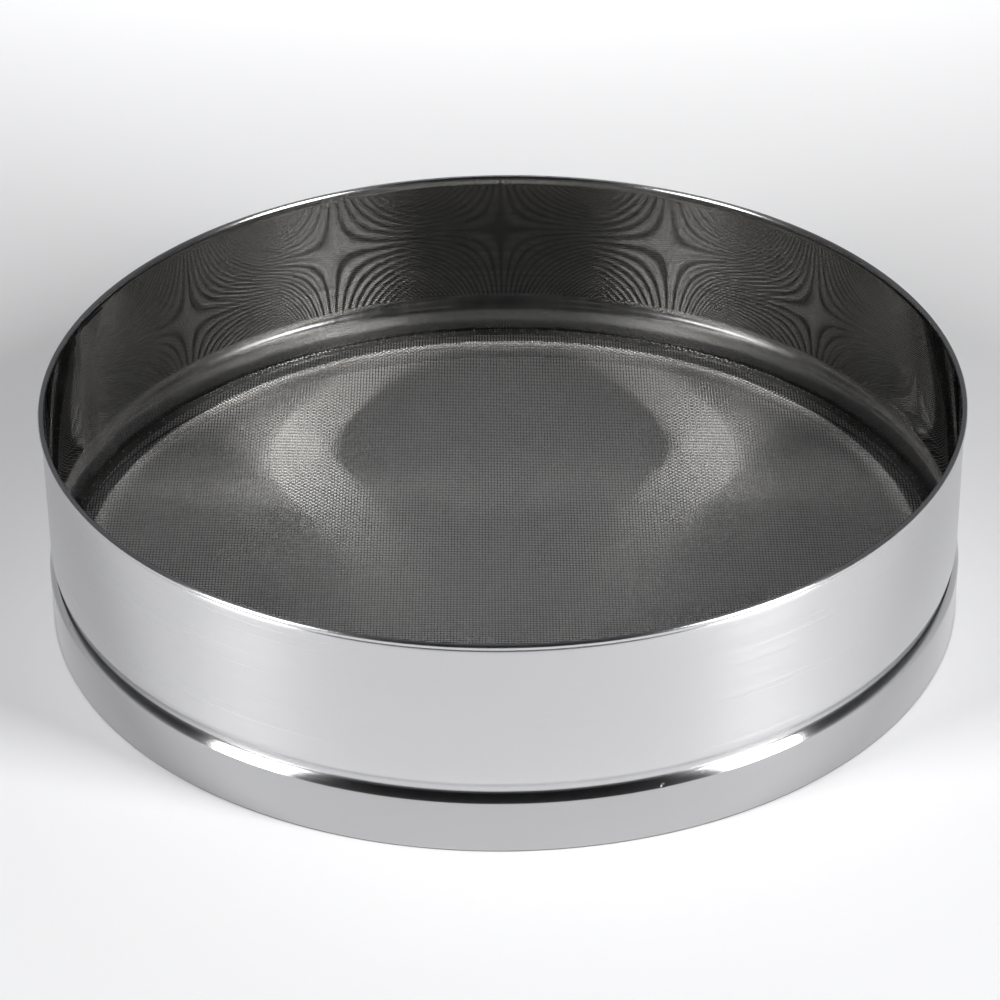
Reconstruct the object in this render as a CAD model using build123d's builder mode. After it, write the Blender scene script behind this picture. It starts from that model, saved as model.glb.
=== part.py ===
from build123d import *
import math
import os

os.makedirs("parts", exist_ok=True)

# Driving dimensions of the sieve, in millimetres
drum_diameter = 305.0        # over the rolled rim, the widest place
drum_height = 76.0           # from the table to the top of the rim

# The band and its rolled rim
band_sheet = 0.5             # thickness of the sheet
bead_thickness = 2.0         # thickness of the rolled rim
bead_proud = 0.9             # how far the rolled rim stands out past the wall
bead_jog = 2.4               # height over which the wall leans in to meet the roll
roll_turn = 270.0            # degrees the sheet turns through in the roll

# The ledge pressed into the band, and the neck below it
ledge_inset = 1.3            # how far the ledge draws the band in
ledge_rise = 6.6             # height of the ledge
neck_depth = 8.0             # straight neck below the ledge, inside the hoop

# The lap where the two ends of the band's strip are welded together
lap_width = 9.0              # width of the overlap
lap_azimuth = 157.0          # degrees round from +X, at the back left
lap_clear = 0.6              # kept free of the lap at the roll and at the neck's end

# The wire in the roll
rim_wire_clear = 0.05        # between the wire and the roll

# The wire cloth
wire_diameter = 0.36         # of the cloth's own wires
wire_pitch = 1.05            # between wires that lie side by side
net_pitch = 26.5             # between the openings that stand for the finer ones of the weave
net_edge = 2.0               # strip without openings, beside the folded margin
margin_width = 3.5           # strip along the edge where the cloth is folded double
margin_clear = 0.05          # room on each side of the turned-up margin
margin_turn_up = 3.8         # how far the margin rises beside the neck

# The hoop
hoop_sheet = 0.6             # thickness of the sheet
skirt_height = 18.0          # from the table to the shoulder
shoulder_rise = 2.9          # height of the shoulder, up to where it closes on the neck
lip_lean = 37.0              # degrees from upright of the sheet at the shoulder's lip
lip_clear = 0.05             # between the lip and the neck
hem_height = 4.5             # height of the folded lower edge
hem_round = 0.45             # round at the fold

# How far a cut runs past the faces that it goes through
cut_over = 0.5

# Heights from the table up
seam_z = skirt_height + shoulder_rise
neck_end_z = seam_z - neck_depth
ledge_top_z = seam_z + ledge_rise
roll_radius = bead_thickness / 2
roll_z = drum_height - roll_radius
jog_z = roll_z - bead_jog

# Radii of the band's outer face, from the rim down
rim_radius = drum_diameter / 2
wall_radius = rim_radius - bead_proud
neck_radius = wall_radius - ledge_inset

# The roll in section: its middle, and the round hollow that the wire lies in
roll_middle = (rim_radius - roll_radius, roll_z)
hollow_radius = roll_radius - band_sheet

# The cloth is two wires thick, and its folded margin twice that
cloth_sheet = 2 * wire_diameter
margin_sheet = 2 * cloth_sheet
margin_inner = neck_radius + margin_clear
margin_outer = margin_inner + margin_sheet

# The weave is too fine to cut, so the disc is a net whose bars hold as much steel as the wires do
steel_share = math.pi * wire_diameter / (4 * wire_pitch)
net_bar = net_pitch * (1 - math.sqrt(1 - steel_share))
net_radius = neck_radius - margin_width - net_edge
net_count = 2 * math.ceil(net_radius / net_pitch)

# The skirt stands outside the margin, and its shoulder leans in to the neck
skirt_inner = margin_outer + margin_clear
skirt_radius = skirt_inner + hoop_sheet
lip_slope = (math.sin(math.radians(lip_lean)), -math.cos(math.radians(lip_lean)))
lip_inner = (neck_radius + lip_clear, seam_z - hoop_sheet * lip_slope[0])
lip_outer = (lip_inner[0] - hoop_sheet * lip_slope[1], seam_z)


def sidestep(start, end):
    """Adds two equal arcs that carry an upright line over to another upright line."""
    middle = ((start[0] + end[0]) / 2, (start[1] + end[1]) / 2)
    first = TangentArc(start, middle, tangent=(0, 1))
    TangentArc(first @ 1, end, tangent=first % 1)


def band_line(start_z, end_z, depth):
    """Adds the band's upright line at a depth inside its outer face, from the neck to the wall."""
    neck_top = (neck_radius - depth, seam_z)
    wall_foot = (wall_radius - depth, ledge_top_z)
    Line((neck_radius - depth, start_z), neck_top)
    sidestep(neck_top, wall_foot)
    Line(wall_foot, (wall_radius - depth, end_z))


def roll_line(depth):
    """Adds the rest of that line: the jog under the roll, and the sheet's turn round the hollow."""
    bend = hollow_radius + depth
    sidestep((wall_radius - depth, jog_z), (roll_middle[0] - bend, roll_z))
    return CenterArc(roll_middle, bend, 180, -roll_turn)


# The band: its strip in section, turned round, with the lap of its ends inside at the back left
with BuildPart() as drum_band:
    with BuildSketch(Plane.XZ):
        with BuildLine():
            band_line(neck_end_z, jog_z, 0)
            outer_face = roll_line(0)
            band_line(neck_end_z, jog_z, band_sheet)
            inner_face = roll_line(band_sheet)
            Line(outer_face @ 1, inner_face @ 1)
            Line((neck_radius, neck_end_z), (neck_radius - band_sheet, neck_end_z))
        make_face()
    revolve(axis=Axis.Z)
    lap_turn = math.degrees(lap_width / wall_radius)
    lap_low = neck_end_z + lap_clear
    lap_high = jog_z - lap_clear
    with BuildSketch(Plane.XZ.rotated((0, 0, lap_azimuth - lap_turn / 2))):
        with BuildLine():
            band_line(lap_low, lap_high, band_sheet / 2)
            band_line(lap_low, lap_high, 2 * band_sheet)
            Line((neck_radius - band_sheet / 2, lap_low), (neck_radius - 2 * band_sheet, lap_low))
            Line((wall_radius - band_sheet / 2, lap_high), (wall_radius - 2 * band_sheet, lap_high))
        make_face()
    revolve(axis=Axis.Z, revolution_arc=lap_turn)
drum_band.part.label = "drum_band"
export_step(drum_band.part, "parts/drum_band.step")

# The wire that the rim is rolled over
with BuildPart() as rim_wire:
    with BuildSketch(Plane.XZ):
        with Locations(roll_middle):
            Circle(hollow_radius - rim_wire_clear)
    revolve(axis=Axis.Z)
rim_wire.part.label = "rim_wire"
export_step(rim_wire.part, "parts/rim_wire.step")

# The wire cloth: a net under the neck's end, doubled along its edge, with the margin turned up outside the neck
with BuildPart() as mesh_cloth:
    with BuildSketch(Plane.XZ):
        with BuildLine():
            Polyline(
                (0, neck_end_z),
                (margin_inner, neck_end_z),
                (margin_inner, neck_end_z + margin_turn_up),
                (margin_outer, neck_end_z + margin_turn_up),
                (margin_outer, neck_end_z - margin_sheet),
                (neck_radius - margin_width, neck_end_z - margin_sheet),
                (neck_radius - margin_width, neck_end_z - cloth_sheet),
                (0, neck_end_z - cloth_sheet),
                close=True,
            )
        make_face()
        fold = vertices().group_by(Axis.Y)[0].sort_by(Axis.X)[-1]
        fillet(fold, radius=cloth_sheet)
    revolve(axis=Axis.Z)
    with BuildSketch(Plane.XY.offset(neck_end_z + cut_over)):
        with GridLocations(net_pitch, net_pitch, net_count, net_count):
            Rectangle(net_pitch - net_bar, net_pitch - net_bar)
        Circle(net_radius, mode=Mode.INTERSECT)
    extrude(amount=-(cloth_sheet + 2 * cut_over), mode=Mode.SUBTRACT)
mesh_cloth.part.label = "mesh_cloth"
export_step(mesh_cloth.part, "parts/mesh_cloth.step")

# The hoop: a skirt with a hemmed foot, and a rounded shoulder that closes on the neck
with BuildPart() as base_hoop:
    with BuildSketch(Plane.XZ):
        with BuildLine():
            Line((skirt_radius, 0), (skirt_radius, skirt_height))
            TangentArc(lip_outer, (skirt_radius, skirt_height), tangent=lip_slope)
            Line(lip_outer, lip_inner)
            TangentArc(lip_inner, (skirt_inner, skirt_height), tangent=lip_slope)
            Polyline(
                (skirt_inner, skirt_height),
                (skirt_inner, hem_height),
                (skirt_inner - hoop_sheet, hem_height),
                (skirt_inner - hoop_sheet, 0),
                (skirt_radius, 0),
            )
        make_face()
        fillet(vertices().group_by(Axis.Y)[0], radius=hem_round)
    revolve(axis=Axis.Z)
base_hoop.part.label = "base_hoop"
export_step(base_hoop.part, "parts/base_hoop.step")
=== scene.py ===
import math

import bpy
import numpy as np
from bpy.props import FloatProperty, FloatVectorProperty, PointerProperty
from bpy.types import Operator, Panel, PropertyGroup
from mathutils import Matrix, Vector


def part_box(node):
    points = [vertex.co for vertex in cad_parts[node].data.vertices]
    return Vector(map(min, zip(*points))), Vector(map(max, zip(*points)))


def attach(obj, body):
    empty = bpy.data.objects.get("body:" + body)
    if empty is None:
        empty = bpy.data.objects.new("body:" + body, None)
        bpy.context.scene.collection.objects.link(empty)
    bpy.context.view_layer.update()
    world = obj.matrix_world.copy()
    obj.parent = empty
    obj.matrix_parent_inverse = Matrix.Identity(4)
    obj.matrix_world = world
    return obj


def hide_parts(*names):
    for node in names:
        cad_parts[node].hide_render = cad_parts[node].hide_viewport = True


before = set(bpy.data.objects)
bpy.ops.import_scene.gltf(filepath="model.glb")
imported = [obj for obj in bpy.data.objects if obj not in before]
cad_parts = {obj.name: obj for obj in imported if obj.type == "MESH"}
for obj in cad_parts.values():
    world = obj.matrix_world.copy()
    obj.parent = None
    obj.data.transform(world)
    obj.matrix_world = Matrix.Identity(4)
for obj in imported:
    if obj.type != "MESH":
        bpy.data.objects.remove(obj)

bl_info = {
    "name": "Tamis Drum Sieve",
    "version": (1, 0, 0),
    "blender": (4, 5, 0),
    "location": "3D View > Sidebar > Tamis",
    "description": "Dresses a steel drum sieve: polished band, hoop and woven wire cloth",
    "category": "Object",
}

MM = 0.001

# Boxes of the solids that the dressed pieces stand in for
BAND_LOW, BAND_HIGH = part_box("drum_band")
HOOP_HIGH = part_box("base_hoop")[1]
CLOTH_LOW, CLOTH_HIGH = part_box("mesh_cloth")

# How finely the meshes are divided
AZIMUTHS = np.radians(np.arange(0, 360, 0.5))
LEDGE_POINTS = 9
JOG_POINTS = 7
ROLL_POINTS = 25
LAP_AZIMUTHS = 24
SHOULDER_POINTS = 16
HEM_POINTS = 8
WIRE_SIDES = 8

# How wide the steep faces are at the lap's ends and at its side, and how far it stays clear of roll and foot
LAP_END_STEP = 0.02 * MM
LAP_SIDE_STEP = 0.03 * MM
LAP_CLEAR = 0.6 * MM
# A strip below the shoulder that keeps the skirt's shading flat up to there
SHOULDER_STRIP = 0.6 * MM
# Allowances for picking points by their height, and for rounding
HEIGHT_SLACK = 0.1 * MM
ROUNDING = 1e-9

# Gaps between the pieces, as in the solids, and what keeps the wires' ends out of the neck
LIP_CLEAR = 0.05 * MM
MARGIN_CLEAR = 0.05 * MM
WIRE_END_CLEAR = 0.2 * MM

# Edges that are sharper than this shade as edges
SHEET_CREASE = math.radians(40)
FOLD_CREASE = math.radians(30)
WIRE_CREASE = math.radians(60)

# A pattern that is as long as this along an axis doesn't show along it
LONG_MM = 160
# The wheel's lines and the die's marks are finer than this on real steel, and too fine to show in the
# render, so they are drawn as coarse as they need to show
WHEEL_LINE_MM = 0.25
MIRROR_LINE_MM = 0.3
HEM_LINE_MM = 0.4
DIE_MARK_MM = 1.0
# Most of a noise's values lie between these two
NOISE_RANGE = {"From Min": 0.3, "From Max": 0.7}
# Share by which the marks in the steel make it rougher or smoother
ROUGHNESS_SHARE = 0.15
# One possible nick for each cube of this size, and the sheet cuts through few of them
NICK_CUBE_MM = 9.0
NICK_DEPTH_MM = 0.15


def linear(hex_colour):
    """An sRGB hex colour as linear red, green and blue, and full alpha."""
    parts = [int(hex_colour[i:i + 2], 16) / 255 for i in (1, 3, 5)]
    return (*(p / 12.92 if p <= 0.04045 else ((p + 0.055) / 1.055) ** 2.4 for p in parts), 1.0)


def length(name, description, millimetres):
    """A length that a user can change, shown in the scene's own unit."""
    return FloatProperty(name=name, description=description, default=millimetres * MM,
                         min=0.0, unit="LENGTH", precision=5)


def angle(name, description, degrees):
    """An angle that a user can change, shown in degrees."""
    return FloatProperty(name=name, description=description, default=math.radians(degrees), subtype="ANGLE")


def strength(name, description, watts):
    """The power of a lamp that a user can change."""
    return FloatProperty(name=name, description=description, default=watts, min=0.0, unit="POWER")


def colour(name, description, hex_colour):
    """A colour that a user can change."""
    return FloatVectorProperty(name=name, description=description, subtype="COLOR", size=4,
                               min=0.0, max=1.0, default=linear(hex_colour))


class TamisBand(PropertyGroup):
    sheet: length("Sheet", "Thickness of the band's sheet", 0.5)
    bead: length("Rolled rim", "Thickness of the rolled rim", 2.0)
    bead_proud: length("Rim proud", "How far the rolled rim stands out past the wall", 0.9)
    bead_jog: length("Jog", "Height over which the wall leans in to meet the roll", 2.4)
    roll_turn: angle("Roll turn", "How far round the sheet turns in the roll", 270)
    ledge_inset: length("Ledge inset", "How far the ledge draws the band in", 1.3)
    ledge_rise: length("Ledge rise", "Height of the ledge", 6.6)
    lap_width: length("Lap", "Width of the overlap at the band's weld", 9.0)
    lap_fade: length("Lap fade", "Width over which the overlap runs out", 14.0)
    lap_azimuth: angle("Lap azimuth", "Angle round from +X to the lap", 157)
    steel: colour("Steel", "Stainless steel, polished to a satin outside", "#D2D2D3")
    ledge: colour("Ledge", "Stainless steel, dulled where the ledge is pressed in", "#A8A7A6")
    # The inside's steel is coloured darker than the outside's: painted shade for the dim inside of the drum
    mirror: colour("Inner face", "Stainless steel, mirror-polished inside", "#858482")


class TamisHoop(PropertyGroup):
    sheet: length("Sheet", "Thickness of the hoop's sheet", 0.6)
    skirt: length("Skirt", "Height of the skirt up to the shoulder", 18.0)
    lip_lean: angle("Lip lean", "How far the shoulder leans from upright at its lip", 37)
    hem: length("Hem", "Height of the folded lower edge", 4.5)
    hem_round: length("Hem round", "Round at the fold of the lower edge", 0.45)
    steel: colour("Steel", "Stainless steel, satin", "#BABABB")
    # The foot's fold is coloured darker than the hoop's steel: painted shade, the contact shadow line along
    # the foot
    foot_shade: colour("Worn fold", "The fold at the foot, rubbed dull by tables", "#6E6D6C")


class TamisCloth(PropertyGroup):
    wire: length("Wire", "Diameter of the cloth's wires", 0.36)
    pitch: length("Pitch", "Distance between wires that lie side by side", 1.05)
    margin: length("Margin", "Width of the strip that is folded double along the edge", 3.5)
    # Widths of painted reflections on the cloth: a ring darkened along its edge for the neck's image, and a
    # strip beside it brightened for the ledge's image
    painted_dark_ring: length("Clamped", "Width of the strip along the edge that was dulled by clamping", 9.0)
    painted_bright_ring: length("Burnished", "Width of the strip beside it that grows brighter towards it", 6.0)
    steel: colour("Wire steel", "Stainless wire, bright drawn", "#C6C5C3")


class TamisStage(PropertyGroup):
    floor: colour("Floor", "Pale table", "#EDEDEE")
    room: colour("Room", "The dark room in front of the table", "#1A1A1B")
    backdrop: colour("Backdrop", "The grey backdrop behind the table", "#616264")
    left_light: strength("Left lamp", "Strength of the upright lamp at the left", 26.0)
    right_light: strength("Right lamp", "Strength of the upright lamp at the right", 36.0)
    back_light: strength("Back lamp", "Strength of the lamp over the table behind", 2.2)


def node(tree, kind, inputs=(), **settings):
    """Adds a node with its settings. Inputs are values or other nodes' outputs, by name or place."""
    made = tree.nodes.new(kind)
    for name, value in settings.items():
        setattr(made, name, value)
    for place, value in dict(inputs).items():
        if isinstance(place, str):
            socket = next(s for s in made.inputs if s.enabled and s.name == place)
        else:
            socket = made.inputs[place]
        if isinstance(value, bpy.types.NodeSocket):
            tree.links.new(value, socket)
        else:
            socket.default_value = value
    return made


def new_material(name):
    """A new material without nodes, and its node tree."""
    made = bpy.data.materials.new(name)
    made.use_nodes = True
    made.node_tree.nodes.clear()
    return made, made.node_tree


def worked_steel(name, steel, roughness, grain_mm, relief_mm, depth, nick_mm=0.0, stretch=0.0):
    """Bare steel with the marks of how its surface was made, as long as grain_mm along X, Y and Z."""
    made, tree = new_material(name)
    where = node(tree, "ShaderNodeTexCoord").outputs["Object"]
    per_metre = [1 / (size * MM) for size in grain_mm]
    across = node(tree, "ShaderNodeVectorMath", {0: where, 1: per_metre}, operation="MULTIPLY").outputs[0]
    marks = node(tree, "ShaderNodeTexNoise", {"Vector": across, "Scale": 1.0, "Detail": 3.0,
                                              "Roughness": 0.6}).outputs["Fac"]
    bump = node(tree, "ShaderNodeBump", {"Height": marks, "Strength": depth, "Distance": relief_mm * MM})
    if nick_mm:
        cells = node(tree, "ShaderNodeTexVoronoi", {"Vector": where, "Scale": 1 / (NICK_CUBE_MM * MM)})
        pit = node(tree, "ShaderNodeMapRange", {"Value": cells.outputs["Distance"], "From Min": 0.0,
                                                "From Max": nick_mm / NICK_CUBE_MM})
        bump = node(tree, "ShaderNodeBump", {"Height": pit.outputs[0], "Strength": 1.0,
                                             "Distance": NICK_DEPTH_MM * MM, "Normal": bump.outputs[0]})
    rough = node(tree, "ShaderNodeMapRange", {"Value": marks, **NOISE_RANGE,
                                              "To Min": roughness * (1 - ROUGHNESS_SHARE),
                                              "To Max": roughness * (1 + ROUGHNESS_SHARE)}).outputs[0]
    shader = node(tree, "ShaderNodeBsdfPrincipled", {"Base Color": steel, "Metallic": 1.0,
                                                     "Roughness": rough, "Normal": bump.outputs[0]})
    if stretch:
        # Level lines scatter light up and down far more than sideways
        shader.inputs["Anisotropic"].default_value = stretch
        upright = node(tree, "ShaderNodeCombineXYZ", {"Z": 1.0}).outputs[0]
        tree.links.new(upright, shader.inputs["Tangent"])
    node(tree, "ShaderNodeOutputMaterial", {"Surface": shader.outputs[0]})
    return made


def satin_sheet(steel):
    """Satin stainless sheet: the wheel's level lines draw the lamps out into soft upright bands."""
    return worked_steel("stainless_sheet_satin", steel, roughness=0.24,
                        grain_mm=(LONG_MM, LONG_MM, WHEEL_LINE_MM), relief_mm=0.02, depth=0.35, stretch=0.8)


def mirror_sheet(steel):
    """Mirror-polished stainless sheet: it shows the wires, and ripples where they meet their image."""
    return worked_steel("stainless_sheet_mirror_polished", steel, roughness=0.03,
                        grain_mm=(LONG_MM, LONG_MM, MIRROR_LINE_MM), relief_mm=0.02, depth=0.04)


def pressed_sheet(steel):
    """Stainless sheet that a roller pressed in: duller, with wrinkles that break its light up."""
    return worked_steel("stainless_sheet_pressed_ledge", steel, roughness=0.2, grain_mm=(4, 4, 30),
                        relief_mm=0.2, depth=0.1)


def hoop_sheet(steel):
    """Satin stainless sheet, shinier than the band's: crisp streaks on the shoulder, and a few nicks."""
    return worked_steel("stainless_hoop_satin", steel, roughness=0.16,
                        grain_mm=(LONG_MM, LONG_MM, WHEEL_LINE_MM), relief_mm=0.02, depth=0.35,
                        nick_mm=0.9, stretch=0.8)


def foot_shade_sheet(steel):
    """Stainless sheet at the foot's fold, rough and coloured dark: painted shade that draws the contact
    shadow line along the foot.
    """
    return worked_steel("stainless_hem_painted_shade", steel, roughness=0.35,
                        grain_mm=(LONG_MM, LONG_MM, HEM_LINE_MM), relief_mm=0.02, depth=0.5)


def rim_steel(steel):
    """Drawn steel wire: dull, with the fine uneven marks of the die."""
    return worked_steel("drawn_steel_rim_wire", steel, roughness=0.35, grain_mm=(DIE_MARK_MM,) * 3,
                        relief_mm=0.02, depth=0.3)


def margin_steel(steel):
    """Wire cloth folded and pressed flat: bright, with a grain as wide as its wires."""
    return worked_steel("stainless_wire_margin", steel, roughness=0.25, grain_mm=(1, 1, 1),
                        relief_mm=0.1, depth=0.5)


def woven_steel(name, cloth, edge, along, crimp, kept_share):
    """Bright drawn stainless wire, crimped and flattened where it passes over and under the other wires.

    The edge is the radius where the painted dark ring begins, along is the wire's direction, crimp is how
    high it rises at a crossing, and kept_share is how much of its roundness is left along X and Y.
    """
    made, tree = new_material(name)
    where = node(tree, "ShaderNodeTexCoord").outputs["Object"]
    # The crimp leans the wire up and down once for each two wires that it crosses, so it glints in dots
    turn = math.pi / cloth.pitch
    phase = node(tree, "ShaderNodeVectorMath", {0: where, 1: (turn,) * 3}, operation="MULTIPLY").outputs[0]
    sines = node(tree, "ShaderNodeVectorMath", {0: phase}, operation="SINE").outputs[0]
    cosines = node(tree, "ShaderNodeVectorMath", {0: phase}, operation="COSINE").outputs[0]
    other = node(tree, "ShaderNodeSeparateXYZ", {0: cosines}).outputs
    crossed = node(tree, "ShaderNodeCombineXYZ", {"X": other["Y"], "Y": other["X"]}).outputs[0]
    lean = node(tree, "ShaderNodeVectorMath", {0: sines, 1: crossed}, operation="MULTIPLY").outputs[0]
    slopes = (crimp * along[0] * turn, crimp * along[1] * turn, 0.0)
    tilt = node(tree, "ShaderNodeVectorMath", {0: lean, 1: slopes}, operation="MULTIPLY").outputs[0]
    # The tops are flattened, so they mirror the wall and the room more than a round wire would
    round_normal = node(tree, "ShaderNodeNewGeometry").outputs["Normal"]
    flattened = node(tree, "ShaderNodeVectorMath", {0: round_normal, 1: (*kept_share, 1.0)},
                     operation="MULTIPLY").outputs[0]
    leant = node(tree, "ShaderNodeVectorMath", {0: flattened, 1: tilt}, operation="ADD").outputs[0]
    normal = node(tree, "ShaderNodeVectorMath", {0: leant}, operation="NORMALIZE").outputs[0]
    # Painted reflections: a ring along the edge darkened out from a clean line for the neck's dark image,
    # and a strip beside it brightened for the lit ledge's image
    blur, painted_dark_share, bright_share = 0.2 * MM, 0.1, 2.0
    level = node(tree, "ShaderNodeVectorMath", {0: where, 1: (1, 1, 0)}, operation="MULTIPLY").outputs[0]
    radius = node(tree, "ShaderNodeVectorMath", {0: level}, operation="LENGTH").outputs["Value"]
    painted_dark = node(tree, "ShaderNodeMapRange", {"Value": radius, "From Min": edge - blur,
                                             "From Max": edge + blur, "To Min": 1.0, "To Max": painted_dark_share})
    painted_bright = node(tree, "ShaderNodeMapRange", {"Value": radius, "From Min": edge - cloth.painted_bright_ring,
                                              "From Max": edge, "To Min": 1.0, "To Max": bright_share})
    tone = node(tree, "ShaderNodeMath", {0: painted_dark.outputs[0], 1: painted_bright.outputs[0]}, operation="MULTIPLY")
    shade = node(tree, "ShaderNodeVectorMath", {0: cloth.steel[:3], "Scale": tone.outputs[0]},
                 operation="SCALE").outputs[0]
    # Drawn wire scatters light along its length
    tangent = node(tree, "ShaderNodeCombineXYZ", {"X": along[0], "Y": along[1]}).outputs[0]
    shader = node(tree, "ShaderNodeBsdfPrincipled", {"Base Color": shade, "Metallic": 1.0, "Roughness": 0.23,
                                                     "Anisotropic": 0.7, "Normal": normal,
                                                     "Tangent": tangent})
    node(tree, "ShaderNodeOutputMaterial", {"Surface": shader.outputs[0]})
    return made


def matt_table(tint):
    """A pale matt table top, which takes soft shadows and hardly shines."""
    made, tree = new_material("pale_table")
    shader = node(tree, "ShaderNodeBsdfPrincipled", {"Base Color": tint, "Roughness": 0.9,
                                                     "Specular IOR Level": 0.1})
    node(tree, "ShaderNodeOutputMaterial", {"Surface": shader.outputs[0]})
    return made


def arc(centre, radius, start, turn, count):
    """Points of an arc in a section, with angles from the radius outwards."""
    angles = start + np.linspace(0, turn, count)
    return np.column_stack([centre[0] + radius * np.cos(angles), centre[1] + radius * np.sin(angles)])


def sidestep(start, end, count):
    """Points of two equal arcs that carry an upright line over to another upright line."""
    half = np.subtract(end, start) / 2
    lean = 2 * math.atan2(abs(half[0]), half[1])
    turned = np.linspace(0, lean, count)
    radius = half[1] / math.sin(lean)
    first = np.column_stack([np.sign(half[0]) * radius * (1 - np.cos(turned)), radius * np.sin(turned)])
    return np.vstack([first + start, np.array(end) - first[-2::-1]])


def shallow_arc(start, slope, end, count):
    """Points of the arc that leaves start along a slope and ends at a point."""
    chord = np.subtract(end, start)
    normal = np.array([-slope[1], slope[0]])
    radius = chord @ chord / (2 * (chord @ normal))
    centre = start + normal * radius
    first = np.subtract(start, centre)
    turn = 2 * math.atan2(chord @ normal, chord @ np.array(slope))
    angles = np.linspace(0, turn, count)
    return np.column_stack([centre[0] + first[0] * np.cos(angles) - first[1] * np.sin(angles),
                            centre[1] + first[0] * np.sin(angles) + first[1] * np.cos(angles)])


def turned(section, azimuths=AZIMUTHS):
    """The rings of a section that is turned round the drum's axis."""
    cos, sin = np.cos(azimuths)[:, None], np.sin(azimuths)[:, None]
    radius, height = section[:, 0], section[:, 1]
    return np.stack([radius * cos, radius * sin, np.broadcast_to(height, (radius * cos).shape)], axis=-1)


def smooth_mesh(name, vertices, faces, crease):
    """A mesh that shades smoothly, but for the edges that are sharper than the crease."""
    mesh = bpy.data.meshes.new(name)
    mesh.from_pydata(vertices, [], faces)
    mesh.polygons.foreach_set("use_smooth", np.ones(len(faces), bool))
    mesh.update()
    mesh.set_sharp_from_angle(angle=crease)
    return mesh


def ring_mesh(name, rings, crease, kinds=0):
    """A closed mesh from one ring of section points for each azimuth. Kinds gives each strip's material."""
    turns, points = rings.shape[:2]
    index = np.arange(turns * points).reshape(turns, points)
    after, above = np.roll(index, -1, axis=0), np.roll(index, -1, axis=1)
    corner = np.roll(after, -1, axis=1)
    quads = np.stack([index, above, corner, after], axis=-1).reshape(-1, 4)
    mesh = smooth_mesh(name, rings.reshape(-1, 3).tolist(), quads.tolist(), crease)
    mesh.polygons.foreach_set("material_index", np.tile(np.broadcast_to(kinds, points), turns))
    return mesh


def wire_mesh(name, spans, radius):
    """One mesh of straight wires with closed ends, each from its start to its end."""
    angles = np.linspace(0, 2 * math.pi, WIRE_SIDES, endpoint=False)
    around = range(WIRE_SIDES)
    sides = [(i, (i + 1) % WIRE_SIDES, (i + 1) % WIRE_SIDES + WIRE_SIDES, i + WIRE_SIDES) for i in around]
    ends = [tuple(around)[::-1], tuple(i + WIRE_SIDES for i in around)]
    up = (0, 0, 1)
    vertices, faces = [], []
    for start, end in spans:
        along = np.subtract(end, start) / math.dist(start, end)
        ring = (np.outer(np.cos(angles), np.cross(up, along)) + np.outer(np.sin(angles), up)) * radius
        faces += [tuple(i + len(vertices) for i in face) for face in sides + ends]
        vertices += np.vstack([ring + start, ring + end]).tolist()
    return smooth_mesh(name, vertices, faces, WIRE_CREASE)


def add_piece(name, mesh, materials, slot, *nodes):
    """Puts a piece in the scene in place of its CAD nodes, riding on the one body."""
    piece = bpy.data.objects.new(name, mesh)
    bpy.context.scene.collection.objects.link(piece)
    for made in materials:
        mesh.materials.append(made)
    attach(piece, "root")
    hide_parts(*nodes)


def neck_radius(band):
    """Radius of the band's outer face at the neck, below the ledge."""
    return BAND_HIGH.x - band.bead_proud - band.ledge_inset


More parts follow.
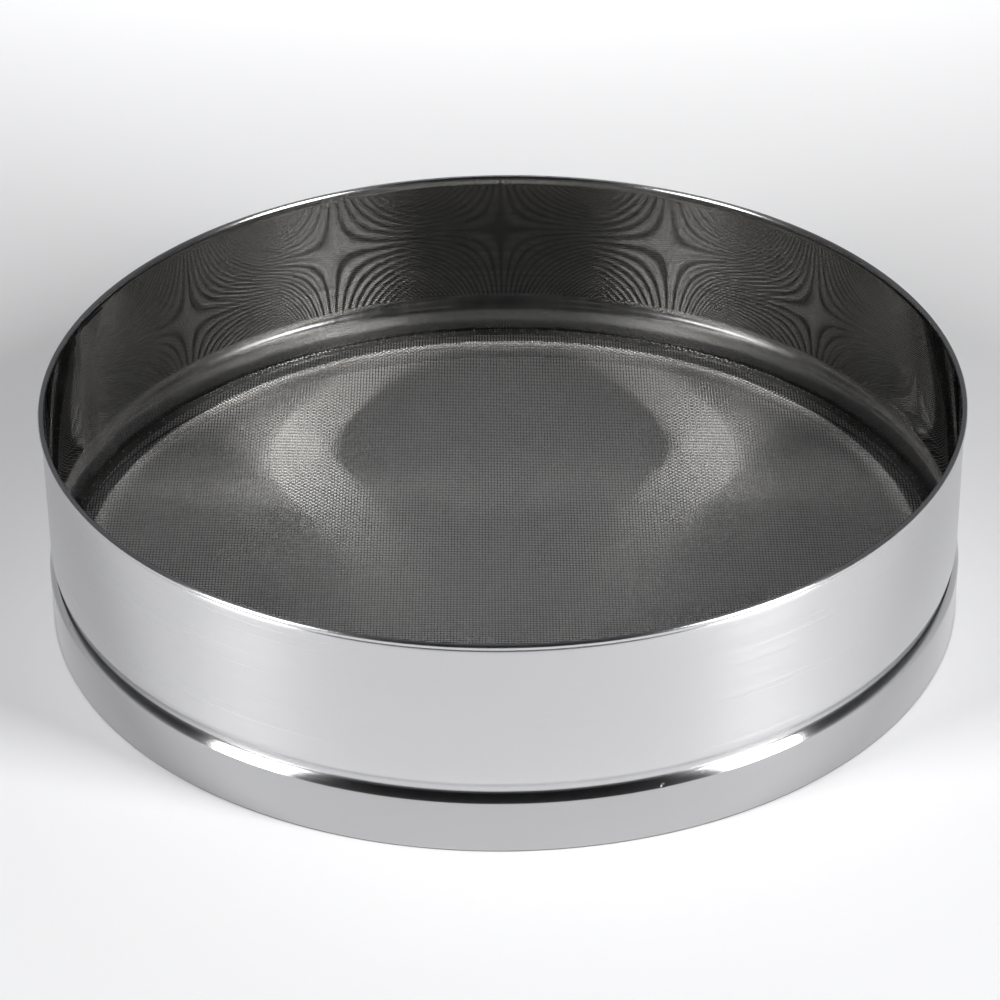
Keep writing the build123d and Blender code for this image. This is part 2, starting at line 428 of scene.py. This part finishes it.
class TamisAddBand(Operator):
    """Add the band with its rolled rim, ledge, neck and lap"""
    bl_idname = "tamis.add_band"
    bl_label = "Add Band"

    def execute(self, context):
        band = context.scene.tamis_band
        wall = BAND_HIGH.x - band.bead_proud
        neck = neck_radius(band)
        foot, seam = BAND_LOW.z, HOOP_HIGH.z
        ledge_top = seam + band.ledge_rise
        roll = band.bead / 2
        middle = (BAND_HIGH.x - roll, BAND_HIGH.z - roll)
        jog = middle[1] - band.bead_jog
        lap_low, lap_high = foot + LAP_CLEAR, jog - LAP_CLEAR

        def line(depth):
            """The band's line at a depth inside its outer face, from the foot up and round the roll."""
            bend = roll - band.sheet + depth
            return np.vstack([
                [(neck - depth, z) for z in (foot, lap_low - LAP_END_STEP, lap_low)],
                sidestep((neck - depth, seam), (wall - depth, ledge_top), LEDGE_POINTS),
                [(wall - depth, z) for z in (lap_high, lap_high + LAP_END_STEP)],
                sidestep((wall - depth, jog), (middle[0] - bend, middle[1]), JOG_POINTS),
                arc(middle, bend, math.pi, -band.roll_turn, ROLL_POINTS)[1:],
            ])

        outer, inner = line(0), line(band.sheet)[::-1]
        section = np.vstack([outer, inner])
        place, height = np.arange(len(section)), section[:, 1]
        # Below the roll the inner face is mirror-polished, and the ledge and the neck are pressed
        polished = place >= len(outer) + ROLL_POINTS - 1
        pressed = polished & (height > seam - HEIGHT_SLACK) & (height < ledge_top - HEIGHT_SLACK)
        kinds = polished.astype(int) + pressed

        # The lap thickens the sheet inwards, with a step at one side, and runs out towards the other
        lap_reach = band.lap_width + band.lap_fade
        start = band.lap_azimuth - band.lap_width / wall / 2
        azimuths = np.unique(np.concatenate([AZIMUTHS, [start - LAP_SIDE_STEP / wall],
                                             start + np.linspace(0, lap_reach / wall, LAP_AZIMUTHS)]))
        past = (azimuths - start) * wall
        left = np.clip((lap_reach - past) / band.lap_fade, 0, 1)
        rise = np.where(past < -ROUNDING, 0, left ** 2 * (3 - 2 * left)) * band.sheet
        lapped = (place >= len(outer)) & (height > lap_low - ROUNDING) & (height < lap_high + ROUNDING)
        inward = np.stack([-np.cos(azimuths), -np.sin(azimuths), 0 * azimuths], axis=-1)
        rings = turned(section, azimuths) + inward[:, None] * (rise[:, None] * lapped)[..., None]
        mesh = ring_mesh("drum_band_steel", rings, SHEET_CREASE, kinds)
        finishes = [satin_sheet(band.steel), mirror_sheet(band.mirror), pressed_sheet(band.ledge)]
        add_piece("band", mesh, finishes, "polished_sheet", "drum_band")
        return {"FINISHED"}


class TamisFinishRimWire(Operator):
    """Give the wire in the rolled rim its own steel"""
    bl_idname = "tamis.finish_rim_wire"
    bl_label = "Finish Rim Wire"

    def execute(self, context):
        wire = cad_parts["rim_wire"]
        wire.data.materials.clear()
        wire.data.materials.append(rim_steel(context.scene.tamis_band.steel))
        return {"FINISHED"}


class TamisAddHoop(Operator):
    """Add the hoop with its shoulder and hemmed foot"""
    bl_idname = "tamis.add_hoop"
    bl_label = "Add Hoop"

    def execute(self, context):
        hoop = context.scene.tamis_hoop
        skirt, seam = HOOP_HIGH.x, HOOP_HIGH.z
        skirt_inner = skirt - hoop.sheet
        leaf = skirt_inner - hoop.sheet
        fold = hoop.hem_round
        slope = np.array([math.sin(hoop.lip_lean), -math.cos(hoop.lip_lean)])
        inner = np.array([neck_radius(context.scene.tamis_band) + LIP_CLEAR, seam - hoop.sheet * slope[0]])
        outer = np.array([inner[0] - hoop.sheet * slope[1], seam])
        section = np.vstack([
            arc((skirt - fold, fold), fold, -math.pi / 2, math.pi / 2, HEM_POINTS),
            [(skirt, hoop.skirt - SHOULDER_STRIP)],
            shallow_arc(outer, slope, (skirt, hoop.skirt), SHOULDER_POINTS)[::-1],
            shallow_arc(inner, slope, (skirt_inner, hoop.skirt), SHOULDER_POINTS),
            [(skirt_inner, hoop.hem), (leaf, hoop.hem)],
            arc((leaf + fold, fold), fold, math.pi, math.pi / 2, HEM_POINTS),
        ])
        # The round of the fold at the foot takes the dark colour, a painted shadow line along the foot
        foot_shade = section[:, 1] < fold - ROUNDING
        mesh = ring_mesh("base_hoop_steel", turned(section), FOLD_CREASE, foot_shade.astype(int))
        finishes = [hoop_sheet(hoop.steel), foot_shade_sheet(hoop.foot_shade)]
        add_piece("hoop", mesh, finishes, "satin_sheet", "base_hoop")
        return {"FINISHED"}


class TamisAddCloth(Operator):
    """Add the woven wire cloth and its doubled margin"""
    bl_idname = "tamis.add_cloth"
    bl_label = "Add Wire Cloth"

    def execute(self, context):
        cloth = context.scene.tamis_cloth
        neck = neck_radius(context.scene.tamis_band)
        edge = neck - cloth.painted_dark_ring
        radius = cloth.wire / 2

        # Half of the wires each way lie on either side of the middle one, and each ends just inside the neck
        reach = neck - WIRE_END_CLEAR
        count = int(reach / cloth.pitch)
        offsets = np.arange(-count, count + 1) * cloth.pitch
        halves = np.sqrt(reach ** 2 - offsets ** 2)
        runs = [(o, h) for o, h in zip(offsets, halves) if h > cloth.pitch]
        weft_z = BAND_LOW.z - radius
        warp_z = weft_z - cloth.wire
        weft = wire_mesh("weft_wires", [((-h, o, weft_z), (h, o, weft_z)) for o, h in runs], radius)
        warp = wire_mesh("warp_wires", [((o, -h, warp_z), (o, h, warp_z)) for o, h in runs], radius)
        # The weft lies on top, so use has flattened it more, and it shows its crimp more than the warp does
        weft_steel = woven_steel("stainless_wire_weft", cloth, edge, along=(1.0, 0.0), crimp=radius * 0.8,
                                 kept_share=(1.0, 0.2))
        warp_steel = woven_steel("stainless_wire_warp", cloth, edge, along=(0.0, 1.0), crimp=radius * 0.5,
                                 kept_share=(1.0, 1.0))
        add_piece("weft_wires", weft, [weft_steel], "woven_cloth", "mesh_cloth")
        add_piece("warp_wires", warp, [warp_steel], "woven_cloth", "mesh_cloth")

        # The margin is folded under the cloth and turned up outside the neck, with its lower corner cut off
        sheet = 2 * cloth.wire
        fold_top, low = BAND_LOW.z - sheet, CLOTH_LOW.z
        inner, outer = neck + MARGIN_CLEAR, CLOTH_HIGH.x
        section = np.array([
            (neck - cloth.margin, low), (outer - sheet, low), (outer, low + sheet), (outer, CLOTH_HIGH.z),
            (inner, CLOTH_HIGH.z), (inner, fold_top), (neck - cloth.margin, fold_top),
        ])
        margin = ring_mesh("cloth_margin_fold", turned(section), FOLD_CREASE)
        add_piece("cloth_margin", margin, [margin_steel(cloth.steel)], "woven_cloth", "mesh_cloth")
        return {"FINISHED"}


def soft_lamp(name, place, target, wide, tall, watts, spread=math.pi):
    """A soft rectangular lamp aimed at a point."""
    lamp = bpy.data.lights.new(name, "AREA")
    lamp.shape = "RECTANGLE"
    lamp.size, lamp.size_y = wide, tall
    lamp.energy = watts
    lamp.spread = spread
    made = bpy.data.objects.new(name, lamp)
    made.location = place
    made.rotation_euler = (Vector(target) - Vector(place)).to_track_quat("-Z", "Y").to_euler()
    bpy.context.scene.collection.objects.link(made)


class TamisAddStage(Operator):
    """Add the table, the lamps, the dim room round it and the camera"""
    bl_idname = "tamis.add_stage"
    bl_label = "Add Stage"

    def execute(self, context):
        stage = context.scene.tamis_stage
        half = 4.0
        corners = [(-half, -half, 0), (half, -half, 0), (half, half, 0), (-half, half, 0)]
        mesh = bpy.data.meshes.new("table_top")
        mesh.from_pydata(corners, [], [(0, 1, 2, 3)])
        mesh.materials.append(matt_table(stage.floor))
        table = bpy.data.objects.new("table_top", mesh)
        context.scene.collection.objects.link(table)

        # Two upright lamps stand in front, as far to the left as to the right
        sideways, lifted, distance = math.radians(58), math.radians(23), 1.6
        away, height = distance * math.cos(lifted), distance * math.sin(lifted)
        for side, name, watts in ((-1, "left", stage.left_light), (1, "right", stage.right_light)):
            place = (side * away * math.sin(sideways), -away * math.cos(sideways), height)
            soft_lamp(f"soft_lamp_{name}", place, (0, 0, 0.05), wide=0.5, tall=1.35, watts=watts)
        # A small lamp straight over the table behind the sieve keeps that part as pale as the front
        soft_lamp("soft_lamp_back", (0, 0.75, 0.9), (0, 0.75, 0), wide=0.9, tall=0.3, watts=stage.back_light,
                  spread=math.radians(70))

        # A grey backdrop rises behind the table, and the room in front of it is dark
        world = bpy.data.worlds.new("dim_room")
        world.use_nodes = True
        tree = world.node_tree
        direction = node(tree, "ShaderNodeTexCoord").outputs["Generated"]
        axes = node(tree, "ShaderNodeSeparateXYZ", {0: direction})
        behind = node(tree, "ShaderNodeMapRange", {"Value": axes.outputs["Y"], "From Min": -0.35,
                                                   "From Max": 0.55}).outputs[0]
        shade = node(tree, "ShaderNodeMix", {"Factor": behind, "A": stage.room, "B": stage.backdrop},
                     data_type="RGBA")
        tree.links.new(shade.outputs["Result"], tree.nodes["Background"].inputs["Color"])
        context.scene.world = world

        # The camera is fitted to the rim, the shoulder and the foot in the photograph
        place, aim = Vector((0, -1.0811, 0.7075)), Vector((-0.0012, 0, 0.0317))
        roll = math.radians(0.634)
        lens = bpy.data.cameras.new("camera")
        lens.sensor_width, lens.lens = 36.0, 136.8
        lens.clip_start, lens.clip_end = 0.01, 50
        camera = bpy.data.objects.new("camera", lens)
        look = (aim - place).to_track_quat("-Z", "Y").to_matrix().to_4x4()
        camera.matrix_world = Matrix.Translation(place) @ look @ Matrix.Rotation(-roll, 4, "Z")
        context.scene.collection.objects.link(camera)
        context.scene.camera = camera
        context.scene.view_settings.view_transform = "Standard"
        return {"FINISHED"}


class TamisPanel(Panel):
    """The pieces of the sieve, in the order they are added"""
    bl_idname = "VIEW3D_PT_tamis"
    bl_label = "Tamis Drum Sieve"
    bl_space_type = "VIEW_3D"
    bl_region_type = "UI"
    bl_category = "Tamis"

    def draw(self, context):
        for operator in OPERATORS:
            self.layout.operator(operator.bl_idname)


GROUPS = {
    "tamis_band": TamisBand,
    "tamis_hoop": TamisHoop,
    "tamis_cloth": TamisCloth,
    "tamis_stage": TamisStage,
}
OPERATORS = (TamisAddBand, TamisFinishRimWire, TamisAddHoop, TamisAddCloth, TamisAddStage)


def register():
    """Registers the classes and gives the scene its groups of properties."""
    for cls in (*GROUPS.values(), *OPERATORS, TamisPanel):
        bpy.utils.register_class(cls)
    for name, group in GROUPS.items():
        setattr(bpy.types.Scene, name, PointerProperty(type=group))


def unregister():
    """Takes all of that away again."""
    for name in GROUPS:
        delattr(bpy.types.Scene, name)
    for cls in (TamisPanel, *reversed(OPERATORS), *reversed(GROUPS.values())):
        bpy.utils.unregister_class(cls)


def main():
    """Adds every piece and the stage."""
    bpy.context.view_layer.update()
    register()
    bpy.ops.tamis.add_band()
    bpy.ops.tamis.finish_rim_wire()
    bpy.ops.tamis.add_hoop()
    bpy.ops.tamis.add_cloth()
    bpy.ops.tamis.add_stage()


if __name__ == "__main__":
    main()
